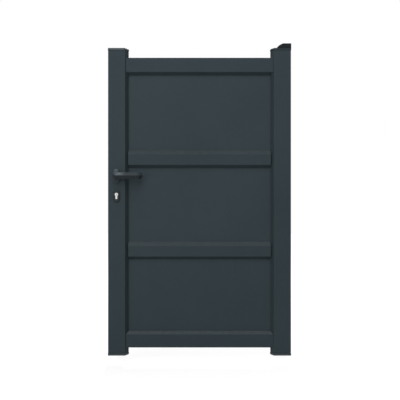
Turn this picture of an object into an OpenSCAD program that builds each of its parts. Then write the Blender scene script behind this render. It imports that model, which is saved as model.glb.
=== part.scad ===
// Pedestrian gate: a leaf of hollow profiles with three plain panels, its handle, lock and hinges.
// The origin is on the post face of the lower hinge bracket.
// X points to the post, Y to the back of the gate and Z up. All sizes are in millimetres.

/* [Leaf] */
// Width of the leaf over both stiles
leaf_w = 960; // [800:1:1200]
// Height of the leaf from foot caps to top caps
leaf_h = 1615; // [1450:1:1900]

/* [Stiles] */
// Width of the flat face of a stile
stile_face = 89.5; // [80:0.5:105]
// Width of the slanting flank between the face and the panels
stile_flank = 15.5; // [13:0.5:24]
// Depth of a stile from front to back
stile_d = 68; // [58:1:80]
// Wall of the hollow stile
stile_wall = 2.2; // [1.8:0.1:2.8]
// Rounding of the outer long edges of a stile
stile_edge_r = 3; // [1:0.5:4]
// Rounding between the face and the flank of a stile
flank_edge_r = 3; // [1:0.5:5]
// Height of an end cap
cap_h = 13; // [9:1:18]
// Width by which an end cap stands out round its stile
cap_lip = 1.4; // [0.5:0.1:2]
// Chamfer round the end of a cap
cap_chamfer = 3; // [1:0.5:5]
// Height of the narrow joint between a cap and its stile
cap_joint = 2; // [1:0.5:3]
// Depth of that joint inside the outline of the stile
joint_in = 1.2; // [0.6:0.1:1.5]
// Depth of the plug of a cap inside its stile
plug_h = 20; // [12:1:30]
// Clearance of that plug on each side
plug_clear = 0.3; // [0.1:0.1:0.6]

/* [Panels] */
// Thickness of a sheet panel
panel_t = 3; // [2:0.5:4]
// Clearance of a panel on each side in its groove
groove_clear = 0.3; // [0.1:0.1:0.5]
// Depth of the grooves that hold the panels
groove_d = 15; // [10:1:18]
// Thickness of the lips beside a groove
lip_t = 3; // [2.5:0.1:4]
// Gap between the edge of a panel and the floor of its groove
seat_gap = 0.5; // [0.3:0.1:0.8]

/* [Rails] */
// Height of the flat face of the top rail
top_face = 75; // [60:0.5:90]
// Height of the flat face of the bottom rail
bottom_face = 69.5; // [60:0.5:90]
// Height of the bevel of those two rails toward the panel
end_bevel = 14; // [10:1:22]
// Distance of those two rails behind the face of the stiles
end_setback = 8; // [1:0.5:10]
// Height of the flat face of a middle rail
mid_face = 55; // [44:1:70]
// Height of the upper bevel of a middle rail
mid_upper_bevel = 23; // [14:1:28]
// Height of the lower bevel of a middle rail
mid_lower_bevel = 15; // [10:1:20]
// Distance of the middle rails behind the face of the stiles
mid_setback = 8; // [5:1:12]
// Wall of the hollow rails
rail_wall = 2; // [1.6:0.1:2.4]
// Rounding of the long edges of the rails
rail_edge_r = 2.5; // [1:0.5:3]
// Length of the plugs in the ends of the middle rails
rail_plug_l = 10; // [6:1:20]
// Height of the stiles above the top rail
top_horn = 50; // [35:1:80]
// Height of the stiles below the bottom rail
foot_horn = 41; // [30:1:70]
// Height of the centre of the upper middle rail above the foot of the leaf
upper_mid_h = 1033; // [960:1:1100]
// Height of the centre of the lower middle rail above the foot of the leaf
lower_mid_h = 551; // [480:1:640]

/* [Hinges] */
// Gap between the leaf and the post
post_gap = 8; // [7:0.5:12]
// Distance of the hinge axis from the outer edge of the stile
axis_in = 25; // [22:1:34]
// Distance of the hinge axis behind the back of the leaf
axis_back = 18; // [18:1:24]
// Radius of a hinge pin
pin_r = 7; // [6:0.5:7.5]
// Running clearance of a pin in its bush
pin_clear = 0.06; // [0.02:0.01:0.1]
// Wall of a hinge bush
bush_wall = 2.5; // [2:0.1:2.7]
// Thickness of the flange of a bush
bush_flange_t = 2.5; // [2:0.1:4]
// Width of the flange beyond the bush
bush_flange_w = 2.5; // [1.5:0.1:3]
// Running gap below the flange of a bush
run_gap = 0.3; // [0.2:0.1:0.5]
// Radius of the eyes on the leaf
eye_r = 14.5; // [13.5:0.5:16]
// Radius of the bosses on the brackets
boss_r = 11.5; // [11:0.5:12]
// Height of a bracket arm
arm_h = 22; // [16:1:30]
// Width of a bracket plate
plate_w = 80; // [70:1:110]
// Height of a bracket plate
plate_h = 100; // [90:1:120]
// Thickness of a bracket plate
plate_t = 6; // [5:0.5:6.5]
// Rounding of the corners of a bracket plate
plate_corner_r = 8; // [4:1:12]
// Radius of the bolt holes in a bracket plate
bolt_r = 4.5; // [4:0.5:5.5]
// Spacing of the bolt holes from front to back
bolt_pitch_y = 50; // [44:1:56]
// Spacing of the bolt holes in height
bolt_pitch_z = 70; // [60:1:74]
// Height of the lower eye above the foot of the leaf
lower_eye_h = 190; // [150:1:300]
// Length of the lower eye
lower_eye_l = 45; // [35:1:60]
// Width of the plate behind the lower eye
lower_flag_w = 62; // [56:1:80]
// Height of the plate behind the lower eye
lower_flag_h = 95; // [70:1:120]
// Thickness of the plate behind the lower eye
lower_flag_t = 5; // [4:0.5:6]

/* [Upper strap] */
// Length of the upper strap over the stile
strap_l = 73; // [64:1:85]
// Height of the upper strap
strap_h = 26.5; // [22:0.5:32]
// Length of the strap past the outer edge of the stile
strap_over = 3.5; // [1:0.5:4]
// Depth of the strap on the stile
strap_d = 38; // [30:1:44]
// Distance of the strap from the front of the stile
strap_front = 12; // [8:1:14]
// Height of the thin tip of the strap
strap_tip = 3.5; // [2:0.5:6]
// Length of the curved nose of the strap
nose_l = 33; // [25:1:40]
// Radius of the curved nose
nose_r = 76; // [60:1:110]
// Rounding of the corners of the strap seen from above
strap_corner_r = 5; // [2:1:8]

/* [Lock and handle] */
// Height of the handle axis above the foot of the leaf
handle_h = 943; // [860:1:1050]
// Distance of the handle axis from the outer edge of the stile
backset = 45; // [40:1:50]
// Distance of the key cylinder below the handle axis
lock_pitch = 97; // [85:1:105]
// Width of a rose
rose_w = 34; // [30:1:38]
// Height of a handle rose
handle_rose_h = 74; // [60:1:78]
// Height of a key rose
key_rose_h = 64; // [56:1:72]
// Thickness of a handle rose
handle_rose_t = 9; // [7:0.5:12]
// Thickness of a key rose
key_rose_t = 8; // [6:0.5:10]
// Rounding of the rim of a rose
rose_rim_r = 3; // [1:0.5:5]
// Radius of the neck of a lever
neck_r = 9; // [8:0.5:10]
// Running clearance of the neck in its rose
neck_clear = 0.08; // [0.03:0.01:0.1]
// Distance of the lever bar from the face of the stile
lever_off = 51; // [46:1:60]
// Length of a lever from its axis to its tip
lever_l = 139; // [120:1:155]
// Height of the lever bar
lever_bar_h = 39; // [28:1:44]
// Thickness of the lever bar
lever_bar_t = 13; // [10:1:15]
// Height of the narrow flat along the front of the lever
lever_ridge = 4; // [3:0.5:6]
// Bevel along the back edges of the lever
lever_back = 4; // [3:0.5:5]
// Radius of the return bend at the end of a lever
return_r = 26; // [16:1:30]
// Angle of the return bend
return_a = 80; // [60:5:90]
// Width across the flats of the square spindle
spindle_w = 8; // [7:1:8]
// Clearance of the spindle in the levers
spindle_clear = 0.05; // [0.02:0.01:0.1]
// Radius of the hole for the spindle in the lock
follower_r = 6.2; // [6:0.1:7]
// Length of the lock faceplate
faceplate_h = 245; // [220:1:270]
// Width of the lock faceplate
faceplate_w = 22; // [20:1:26]
// Thickness of the lock faceplate
faceplate_t = 3; // [2.5:0.5:4]
// Clearance round the faceplate and the bolts
lock_clear = 0.2; // [0.1:0.05:0.3]
// Height of the lock case
case_h = 180; // [170:1:200]
// Thickness of the lock case
case_t = 16; // [15:1:18]
// Depth of the lock case behind the handle axis
case_back = 18; // [16:1:22]
// Length of the latch bolt and the dead bolt inside the case
bolt_l = 26; // [20:1:28]
// Height of the latch bolt
latch_h = 30; // [24:1:36]
// Height of the dead bolt
dead_h = 26; // [20:1:34]
// Thickness of both bolts
bolt_t = 11; // [9:0.5:12]

/* [Hidden] */
$fn = 48;

// Profile sizes
groove_half = panel_t / 2 + groove_clear;
nose_half = groove_half + lip_t;
flank_d = stile_d / 2 - nose_half;
flank_len = norm([stile_flank, flank_d]);
stile_w = stile_face + stile_flank;
top_rail_h = top_face + end_bevel;
bottom_rail_h = bottom_face + end_bevel;
mid_rail_h = mid_face + mid_upper_bevel + mid_lower_bevel;

// Places in the gate
axis_x = -(post_gap + axis_in);
axis_y = boss_r + 0.5 - plate_w / 2;
back_y = axis_y - axis_back;
front_y = back_y - stile_d;
hinge_edge = -post_gap;
lock_edge = -post_gap - leaf_w;
eye_rise = arm_h / 2 + run_gap + bush_flange_t;
foot_z = eye_rise - lower_eye_h;
top_z = foot_z + leaf_h;
upper_z = top_z - eye_rise;
top_rail_z = top_z - top_horn - top_rail_h;
bottom_rail_z = foot_z + foot_horn;
upper_mid_z = foot_z + upper_mid_h - mid_rail_h / 2;
lower_mid_z = foot_z + lower_mid_h - mid_rail_h / 2;
handle_z = foot_z + handle_h;
key_z = handle_z - lock_pitch;
bush_r = pin_r + pin_clear + bush_wall;

// Standard profile of the key cylinder: plug radius, web half width and drop of the web
plug_r = 8.5;
web_half = 5;
web_drop = 19.5;
key_rose_drop = (web_drop + web_half - plug_r) / 2;

// Steps in a rounded corner
round_steps = 5;

function unit(v) = v / norm(v);

// Points of the round at corner p between its neighbours a and b
function corner_points(p, a, b, r) =
  let (u = unit(a - p), v = unit(b - p), half = acos(u * v) / 2)
  let (c = p + unit(u + v) * r / sin(half), s = p + u * r / tan(half) - c, e = p + v * r / tan(half) - c)
  let (from = atan2(s[1], s[0]), turn = (atan2(e[1], e[0]) - from + 540) % 360 - 180)
  [for (i = [0 : round_steps])
    let (a = from + turn * i / round_steps) c + r * [cos(a), sin(a)]];

// Convex outline with one corner radius per point
module rounded_outline(points, radii) {
  n = len(points);
  polygon([for (i = [0 : n - 1])
    each radii[i] > 0
      ? corner_points(points[i], points[(i + n - 1) % n], points[(i + 1) % n], radii[i])
      : [points[i]]]);
}

module rounded_rect(w, h, r) {
  rounded_outline([[-w / 2, -h / 2], [w / 2, -h / 2], [w / 2, h / 2], [-w / 2, h / 2]], [r, r, r, r]);
}

// Upright slot shape with round ends
module slot_shape(w, h) {
  square([w, h - w], center = true);
  for (s = [-1, 1]) translate([0, s * (h - w) / 2]) circle(w / 2);
}

// Turns a shape in Y and Z into a bar along X
module bar_x(l) {
  rotate([90, 0, 90]) linear_extrude(l) children();
}

// Turns a shape in X and Z into a bar along Y, from y = 0 to the front
module bar_front(l) {
  rotate([90, 0, 0]) linear_extrude(l) children();
}

// Place of each stile: x runs from the outer edge to the panels, y from front to back
module at_lock_stile() {
  translate([lock_edge, front_y, 0]) children();
}

module at_hinge_stile() {
  translate([hinge_edge, front_y, 0]) mirror([1, 0, 0]) children();
}

// Distance of the flank from the outer edge at depth v, moved inward by i
function flank_x(v, i) = stile_face + (stile_flank * v - flank_len * i) / flank_d;

// Outline of a stile, moved inward by i
function stile_points(i) =
  let (nose_v = flank_d + i * (flank_len - flank_d) / stile_flank)
  [[i, i], [flank_x(i, i), i], [stile_w - i, nose_v],
   [stile_w - i, stile_d - nose_v], [flank_x(i, i), stile_d - i], [i, stile_d - i]];

// Hollow of a stile with walls of w
function stile_hollow(w) =
  let (bx = stile_w - groove_d - w, bv = stile_d / 2 - groove_half - w)
  [[w, w], [flank_x(w, w), w], [flank_x(bv, w), bv], [bx, bv],
   [bx, stile_d - bv], [flank_x(bv, w), stile_d - bv], [flank_x(w, w), stile_d - w], [w, stile_d - w]];

module stile_outline(i) {
  rounded_outline(stile_points(i),
    [stile_edge_r - i, flank_edge_r - i, 0.8, 0.8, flank_edge_r - i, stile_edge_r - i]);
}

module stile_tube() {
  translate([0, 0, foot_z + cap_h]) linear_extrude(leaf_h - 2 * cap_h) difference() {
    stile_outline(0);
    polygon(stile_hollow(stile_wall));
    translate([stile_w - groove_d, stile_d / 2 - groove_half]) square([groove_d + 1, 2 * groove_half]);
  }
}

// Room that a stile takes, to fit the ends of the top and bottom rails to its flank
module stile_room() {
  translate([0, 0, foot_z]) linear_extrude(leaf_h) polygon(stile_points(0));
}

// Chamfers along the top edges of a cap of height h
module cap_edges(points, h, c) {
  n = len(points);
  for (i = [0 : n - 1]) {
    d = points[(i + 1) % n] - points[i];
    translate(points[i]) rotate(atan2(d[1], d[0])) translate([-3, 0, 0])
      bar_x(norm(d) + 6) polygon([[c, h], [-1, h - c - 1], [-1, h + 1], [c, h + 1]]);
  }
}

module stile_cap() {
  difference() {
    translate([0, 0, cap_joint]) linear_extrude(cap_h - cap_joint) stile_outline(-cap_lip);
    cap_edges(stile_points(-cap_lip), cap_h, cap_chamfer);
  }
  linear_extrude(cap_joint + 0.5) stile_outline(joint_in);
  translate([0, 0, -plug_h]) linear_extrude(plug_h + 0.5) polygon(stile_hollow(stile_wall + plug_clear));
}

// Height of the inside of a rail bevel b with setback s at depth v, for a wall of w
function bevel_z(v, s, b, w) = (norm([flank_d - s, b]) * w - b * (v - flank_d)) / (flank_d - s);

// Top or bottom rail of height h seen along X, with the panel groove at z = 0
module end_rail_section(h) {
  s = end_setback;
  w = rail_wall;
  bv = stile_d / 2 - groove_half - w;
  zf = bevel_z(s + w, s, end_bevel, w);
  zb = bevel_z(bv, s, end_bevel, w);
  r = rail_edge_r;
  difference() {
    rounded_outline([[flank_d, 0], [stile_d - flank_d, 0], [stile_d - s, end_bevel], [stile_d - s, h],
      [s, h], [s, end_bevel]], [0.8, 0.8, r, r, r, r]);
    polygon([[s + w, zf], [bv, zb], [bv, groove_d + w], [stile_d - bv, groove_d + w], [stile_d - bv, zb],
      [stile_d - s - w, zf], [stile_d - s - w, h - w], [s + w, h - w]]);
    translate([stile_d / 2 - groove_half, -1]) square([2 * groove_half, groove_d + 1]);
  }
}

// Hollow of a middle rail with walls of w
function mid_hollow(w) =
  let (s = mid_setback, h = mid_rail_h, bv = stile_d / 2 - groove_half - w)
  let (lf = bevel_z(s + w, s, mid_lower_bevel, w), lb = bevel_z(bv, s, mid_lower_bevel, w))
  let (uf = h - bevel_z(s + w, s, mid_upper_bevel, w), ub = h - bevel_z(bv, s, mid_upper_bevel, w))
  [[s + w, lf], [bv, lb], [bv, groove_d + w], [stile_d - bv, groove_d + w], [stile_d - bv, lb],
   [stile_d - s - w, lf], [stile_d - s - w, uf], [stile_d - bv, ub], [stile_d - bv, h - groove_d - w],
   [bv, h - groove_d - w], [bv, ub], [s + w, uf]];

// Middle rail seen along X, with its lower groove at z = 0
module mid_rail_section() {
  s = mid_setback;
  h = mid_rail_h;
  r = rail_edge_r;
  difference() {
    rounded_outline([[flank_d, 0], [stile_d - flank_d, 0], [stile_d - s, mid_lower_bevel],
      [stile_d - s, h - mid_upper_bevel], [stile_d - flank_d, h], [flank_d, h],
      [s, h - mid_upper_bevel], [s, mid_lower_bevel]], [0.8, 0.8, r, r, 0.8, 0.8, r, r]);
    polygon(mid_hollow(rail_wall));
    for (z = [-1, h - groove_d])
      translate([stile_d / 2 - groove_half, z]) square([2 * groove_half, groove_d + 1]);
  }
}

// End rail from stile face to stile face, with its ends fitted to the flanks
module fitted_rail() {
  difference() {
    translate([lock_edge + stile_face, front_y, 0]) bar_x(leaf_w - 2 * stile_face) children();
    at_lock_stile() stile_room();
    at_hinge_stile() stile_room();
  }
}

module mid_rail(z) {
  translate([lock_edge + stile_w, front_y, z]) bar_x(leaf_w - 2 * stile_w) mid_rail_section();
}

// Plug that closes the end of a middle rail, from x on
module rail_plug(x, z) {
  translate([x, front_y, z]) bar_x(rail_plug_l) polygon(mid_hollow(rail_wall + plug_clear));
}

module lock_side_plug(z) {
  rail_plug(lock_edge + stile_w + seat_gap, z);
}

module hinge_side_plug(z) {
  rail_plug(hinge_edge - stile_w - seat_gap - rail_plug_l, z);
}

// Sheet panel between two heights, held in the grooves
module sheet_panel(low, high) {
  e = groove_d - seat_gap;
  translate([lock_edge + stile_w - e, front_y + (stile_d - panel_t) / 2, low - e])
    cube([leaf_w - 2 * stile_w + 2 * e, panel_t, high - low + 2 * e]);
}

// Key cylinder profile seen from the front, grown by c
module key_profile(c) {
  circle(plug_r + c);
  translate([-web_half - c, -web_drop]) square([2 * (web_half + c), web_drop]);
  translate([0, -web_drop]) circle(web_half + c);
}

// Rose with a rounded rim, from y = 0 to the front
module rose(h, t) {
  r = rose_rim_r;
  w = rose_w;
  rotate([90, 0, 0]) {
    for (s = [-1, 1]) translate([0, s * (h - w) / 2, 0])
      rotate_extrude() rounded_outline([[0, 0], [w / 2, 0], [w / 2, t], [0, t]], [0, 0, r, 0]);
    rotate([90, 0, 0]) linear_extrude(h - w, center = true)
      rounded_outline([[-w / 2, 0], [w / 2, 0], [w / 2, t], [-w / 2, t]], [0, 0, r, r]);
  }
}

// Turns a front fitting at the origin to the front or the back of the leaf
module on_front(z) {
  translate([lock_edge + backset, front_y, z]) children();
}

module on_back(z) {
  translate([lock_edge + backset, back_y, z]) mirror([0, 1, 0]) children();
}

module handle_rose() {
  difference() {
    rose(handle_rose_h, handle_rose_t);
    translate([0, 1, 0]) rotate([90, 0, 0]) cylinder(h = handle_rose_t + 2, r = neck_r + neck_clear);
  }
}

module key_rose() {
  difference() {
    translate([0, 0, -key_rose_drop]) rose(key_rose_h, key_rose_t);
    translate([0, 1, 0]) bar_front(key_rose_t + 2) key_profile(lock_clear);
  }
}

// Cross-section of the lever bar: two slopes that meet in a narrow flat along the front
module lever_section() {
  t = lever_bar_t;
  h = lever_bar_h;
  f = lever_ridge / 2;
  b = lever_back;
  rounded_outline([[-t / 2, f], [-t / 2, -f], [t / 2 - b, -h / 2], [t / 2, b - h / 2], [t / 2, h / 2 - b],
    [t / 2 - b, h / 2]], [2.5, 2.5, 2.5, 2, 2, 2.5]);
}

// Half of the same section, to turn the round end of the lever
module lever_end_profile() {
  t = lever_bar_t;
  h = lever_bar_h;
  b = lever_back;
  f = lever_ridge / 2;
  rounded_outline([[0, -t / 2], [h / 2 - b, -t / 2], [h / 2, b - t / 2], [f, t / 2], [0, t / 2]],
    [0, 2, 2.5, 2.5, 0]);
}

// Lever with its axis at the origin, pointing along X, in front of y = 0
module lever() {
  bend_x = lever_l - return_r - lever_bar_t / 2;
  difference() {
    union() {
      translate([0, -2, 0]) rotate([90, 0, 0]) cylinder(h = lever_off - 2, r = neck_r);
      translate([0, -lever_off, 0]) rotate([90, 0, 0]) rotate(90) rotate_extrude(angle = 180)
        lever_end_profile();
      translate([0, -lever_off, 0]) bar_x(bend_x) lever_section();
      translate([bend_x, return_r - lever_off, 0]) rotate(-90) rotate_extrude(angle = return_a)
        translate([return_r, 0]) mirror([1, 0]) lever_section();
    }
    cs = spindle_w + 2 * spindle_clear;
    translate([-cs / 2, -lever_off + 12, -cs / 2]) cube([cs, lever_off, cs]);
  }
}

// Side of the upper strap: flat top, thin tip and a curved nose between them
module strap_side() {
  a = [strap_l, strap_tip];
  b = [strap_l - nose_l, strap_h];
  d = b - a;
  c = (a + b) / 2 + sqrt(nose_r * nose_r - d * d / 4) * unit([-d[1], d[0]]);
  intersection() {
    translate([-strap_over - 2, -1]) square([strap_l + strap_over + 4, strap_h + 1]);
    translate(c) circle(nose_r, $fn = 160);
  }
}

// Upper strap seen from above
module strap_plan() {
  r = strap_corner_r;
  rear = strap_front + strap_d;
  rounded_outline([[-strap_over, strap_front], [strap_l, strap_front], [strap_l, rear], [-strap_over, rear]],
    [r, r, r, r]);
  translate([axis_in, stile_d + axis_back]) circle(eye_r);
  polygon([[axis_in - eye_r - 4, rear - 3], [axis_in + eye_r + 12, rear - 3],
    [axis_in + eye_r - 0.5, stile_d + axis_back], [axis_in - eye_r + 0.5, stile_d + axis_back]]);
}

module hinge_bush(z) {
  translate([axis_x, axis_y, z]) rotate_extrude()
    polygon([[pin_r + pin_clear, -bush_flange_t], [bush_r + bush_flange_w, -bush_flange_t],
      [bush_r + bush_flange_w, 0], [bush_r, 0], [bush_r, strap_h - 3], [pin_r + pin_clear, strap_h - 3]]);
}

// Pin of a bracket at height z, up to the given height above the bracket centre
module hinge_pin(z, top) {
  translate([axis_x, axis_y, z]) rotate_extrude()
    polygon([[0, -arm_h / 2], [pin_r, -arm_h / 2], [pin_r, top - 2], [pin_r - 2, top], [0, top]]);
}

module hinge_bracket(z) {
  translate([0, 0, z]) difference() {
    union() {
      translate([-plate_t, 0, 0]) bar_x(plate_t) rounded_rect(plate_w, plate_h, plate_corner_r);
      linear_extrude(arm_h, center = true) {
        translate([axis_x, axis_y]) circle(boss_r);
        polygon([[axis_x, axis_y - boss_r], [-plate_t + 1, axis_y - boss_r], [-plate_t + 1, plate_w / 2 - 12],
          [-plate_t - 2, plate_w / 2 - 12], [axis_x, axis_y + boss_r]]);
      }
    }
    for (y = [-1, 1], s = [-1, 1])
      translate([-plate_t - 1, y * bolt_pitch_y / 2, s * bolt_pitch_z / 2])
        rotate([0, 90, 0]) cylinder(h = plate_t + 2, r = bolt_r);
    translate([axis_x, axis_y, -arm_h]) cylinder(h = 2 * arm_h, r = pin_r + 0.02);
  }
}

module upper_hinge_bracket() {
  color([0.05, 0.05, 0.06]) hinge_bracket(upper_z);
}

module lower_hinge_bracket() {
  color([0.05, 0.05, 0.06]) hinge_bracket(0);
}

module upper_hinge_pin() {
  color([0.7, 0.7, 0.7]) hinge_pin(upper_z, eye_rise + strap_h - 2);
}

module lower_hinge_pin() {
  color([0.7, 0.7, 0.7]) hinge_pin(0, eye_rise + lower_eye_l - 2);
}

module upper_hinge_strap() {
  color([0.05, 0.05, 0.06]) at_hinge_stile() translate([0, 0, top_z]) difference() {
    intersection() {
      linear_extrude(strap_h + 1) strap_plan();
      translate([0, stile_d + axis_back + eye_r + 1, 0]) bar_front(stile_d + axis_back + eye_r) strap_side();
    }
    translate([axis_in, stile_d + axis_back, -1]) cylinder(h = strap_h + 2, r = bush_r + 0.02);
  }
}

module lower_hinge_eye() {
  color([0.05, 0.05, 0.06]) at_hinge_stile() translate([0, 0, eye_rise]) difference() {
    union() {
      translate([axis_in - eye_r - 6 + lower_flag_w / 2, stile_d + lower_flag_t, lower_flag_h / 2])
        bar_front(lower_flag_t) rounded_rect(lower_flag_w, lower_flag_h, 5);
      linear_extrude(lower_eye_l) {
        translate([axis_in, stile_d + axis_back]) circle(eye_r);
        polygon([[axis_in - eye_r, stile_d + 1], [axis_in + eye_r + 8, stile_d + 1],
          [axis_in + eye_r + 8, stile_d + lower_flag_t], [axis_in + eye_r, stile_d + axis_back],
          [axis_in - eye_r, stile_d + axis_back]]);
      }
    }
    translate([axis_in, stile_d + axis_back, -1]) cylinder(h = lower_eye_l + 2, r = bush_r + 0.02);
  }
}

module upper_hinge_bush() {
  color([0.8, 0.8, 0.75]) hinge_bush(top_z);
}

module lower_hinge_bush() {
  color([0.8, 0.8, 0.75]) hinge_bush(eye_rise);
}

module lock_stile() {
  color([0.21, 0.24, 0.26]) difference() {
    at_lock_stile() stile_tube();
    translate([0, stile_d + 1, 0]) on_front(handle_z) rotate([90, 0, 0]) cylinder(h = stile_d + 2, r = 8);
    translate([0, stile_d + 1, 0]) on_front(key_z) bar_front(stile_d + 2) key_profile(1);
    at_lock_stile() translate([-1, stile_d / 2, handle_z - lock_pitch / 2]) bar_x(stile_wall + 2)
      rounded_rect(faceplate_w + 2 * lock_clear, faceplate_h + 2 * lock_clear, 3 + lock_clear);
  }
}

module hinge_stile() {
  color([0.21, 0.24, 0.26]) at_hinge_stile() stile_tube();
}

module top_rail() {
  color([0.21, 0.24, 0.26]) fitted_rail() translate([0, top_rail_z]) end_rail_section(top_rail_h);
}

module bottom_rail() {
  color([0.21, 0.24, 0.26]) fitted_rail()
    translate([0, bottom_rail_z + bottom_rail_h]) mirror([0, 1]) end_rail_section(bottom_rail_h);
}

module upper_mid_rail() {
  color([0.21, 0.24, 0.26]) mid_rail(upper_mid_z);
}

module lower_mid_rail() {
  color([0.21, 0.24, 0.26]) mid_rail(lower_mid_z);
}

module upper_rail_lock_plug() {
  color([0.12, 0.13, 0.14]) lock_side_plug(upper_mid_z);
}

module upper_rail_hinge_plug() {
  color([0.12, 0.13, 0.14]) hinge_side_plug(upper_mid_z);
}

module lower_rail_lock_plug() {
  color([0.12, 0.13, 0.14]) lock_side_plug(lower_mid_z);
}

module lower_rail_hinge_plug() {
  color([0.12, 0.13, 0.14]) hinge_side_plug(lower_mid_z);
}

module upper_panel() {
  color([0.2, 0.23, 0.25]) sheet_panel(upper_mid_z + mid_rail_h, top_rail_z);
}

module middle_panel() {
  color([0.2, 0.23, 0.25]) sheet_panel(lower_mid_z + mid_rail_h, upper_mid_z);
}

module lower_panel() {
  color([0.2, 0.23, 0.25]) sheet_panel(bottom_rail_z + bottom_rail_h, lower_mid_z);
}

module lock_stile_top_cap() {
  color([0.12, 0.13, 0.14]) at_lock_stile() translate([0, 0, top_z - cap_h]) stile_cap();
}

module lock_stile_foot_cap() {
  color([0.12, 0.13, 0.14]) at_lock_stile() translate([0, 0, foot_z + cap_h]) mirror([0, 0, 1]) stile_cap();
}

module hinge_stile_top_cap() {
  color([0.12, 0.13, 0.14]) at_hinge_stile() translate([0, 0, top_z - cap_h]) stile_cap();
}

module hinge_stile_foot_cap() {
  color([0.12, 0.13, 0.14]) at_hinge_stile() translate([0, 0, foot_z + cap_h]) mirror([0, 0, 1]) stile_cap();
}

// Room of a bolt of the lock, from the face of the faceplate inward, grown by c
module bolt_room(h, z, c) {
  at_lock_stile() translate([0, stile_d / 2 - bolt_t / 2 - c, z - h / 2 - c])
    cube([bolt_l + c, bolt_t + 2 * c, h + 2 * c]);
}

module mortice_lock() {
  color([0.6, 0.6, 0.6]) difference() {
    at_lock_stile() {
      translate([0, stile_d / 2, handle_z - lock_pitch / 2]) bar_x(faceplate_t)
        rounded_rect(faceplate_w, faceplate_h, 3);
      translate([faceplate_t - 1, (stile_d - case_t) / 2, handle_z - (lock_pitch + case_h) / 2])
        cube([backset + case_back - faceplate_t + 1, case_t, case_h]);
    }
    translate([0, stile_d, 0]) on_front(handle_z) rotate([90, 0, 0]) cylinder(h = stile_d, r = follower_r);
    translate([0, stile_d, 0]) on_front(key_z) bar_front(stile_d) key_profile(lock_clear);
    translate([-1, 0, 0]) bolt_room(latch_h, handle_z, lock_clear);
    translate([-1, 0, 0]) bolt_room(dead_h, key_z, lock_clear);
    bolt_room(latch_h, handle_z, lock_clear);
    bolt_room(dead_h, key_z, lock_clear);
  }
}

module latch_bolt() {
  color([0.75, 0.75, 0.72]) bolt_room(latch_h, handle_z, 0);
}

module dead_bolt() {
  color([0.75, 0.75, 0.72]) bolt_room(dead_h, key_z, 0);
}

module key_cylinder() {
  l = stile_d + 2 * (key_rose_t + 2);
  color([0.85, 0.85, 0.85]) on_front(key_z) difference() {
    translate([0, stile_d + key_rose_t + 2, 0]) bar_front(l) key_profile(0);
    translate([-1.2, -key_rose_t - 3, -4.5]) cube([2.4, 15, 9]);
    translate([-1.2, stile_d + key_rose_t - 12, -4.5]) cube([2.4, 15, 9]);
  }
}

module front_key_rose() {
  color([0.08, 0.09, 0.1]) on_front(key_z) key_rose();
}

module back_key_rose() {
  color([0.08, 0.09, 0.1]) on_back(key_z) key_rose();
}

module front_handle_rose() {
  color([0.08, 0.09, 0.1]) on_front(handle_z) handle_rose();
}

module back_handle_rose() {
  color([0.08, 0.09, 0.1]) on_back(handle_z) handle_rose();
}

module front_lever() {
  color([0.08, 0.09, 0.1]) on_front(handle_z) lever();
}

module back_lever() {
  color([0.08, 0.09, 0.1]) on_back(handle_z) lever();
}

module spindle() {
  reach = lever_off - 12.5;
  color([0.6, 0.6, 0.6]) on_front(handle_z) translate([-spindle_w / 2, -reach, -spindle_w / 2])
    cube([spindle_w, stile_d + 2 * reach, spindle_w]);
}

upper_hinge_bracket();
lower_hinge_bracket();
upper_hinge_pin();
lower_hinge_pin();
upper_hinge_strap();
lower_hinge_eye();
upper_hinge_bush();
lower_hinge_bush();
lock_stile();
hinge_stile();
top_rail();
upper_mid_rail();
lower_mid_rail();
bottom_rail();
upper_rail_lock_plug();
upper_rail_hinge_plug();
lower_rail_lock_plug();
lower_rail_hinge_plug();
upper_panel();
middle_panel();
lower_panel();
lock_stile_top_cap();
lock_stile_foot_cap();
hinge_stile_top_cap();
hinge_stile_foot_cap();
mortice_lock();
latch_bolt();
dead_bolt();
key_cylinder();
front_key_rose();
back_key_rose();
front_handle_rose();
back_handle_rose();
front_lever();
back_lever();
spindle();
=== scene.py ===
import math

import bmesh
import bpy
from mathutils import Matrix, Vector
from mathutils.geometry import convex_hull_2d


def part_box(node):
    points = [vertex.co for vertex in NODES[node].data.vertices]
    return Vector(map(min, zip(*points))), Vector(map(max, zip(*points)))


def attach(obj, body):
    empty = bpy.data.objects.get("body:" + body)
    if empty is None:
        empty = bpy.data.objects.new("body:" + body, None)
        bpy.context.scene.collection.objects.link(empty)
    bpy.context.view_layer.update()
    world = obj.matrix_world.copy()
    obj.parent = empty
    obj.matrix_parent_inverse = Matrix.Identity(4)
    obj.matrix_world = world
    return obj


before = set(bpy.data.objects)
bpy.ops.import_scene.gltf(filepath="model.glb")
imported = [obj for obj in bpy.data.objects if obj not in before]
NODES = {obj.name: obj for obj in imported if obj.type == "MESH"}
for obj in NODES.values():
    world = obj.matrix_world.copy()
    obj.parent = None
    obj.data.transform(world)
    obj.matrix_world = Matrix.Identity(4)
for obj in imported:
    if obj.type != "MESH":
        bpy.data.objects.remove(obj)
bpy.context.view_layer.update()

bl_info = {
    "name": "Garden gate finish",
    "version": (1, 0, 0),
    "blender": (4, 5, 0),
    "location": "3D View > Sidebar > Gate",
    "description": "Paints a pedestrian gate leaf, adds its seals, screws, welds and lock details, "
                   "and sets up a studio",
    "category": "3D View",
}

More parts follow.
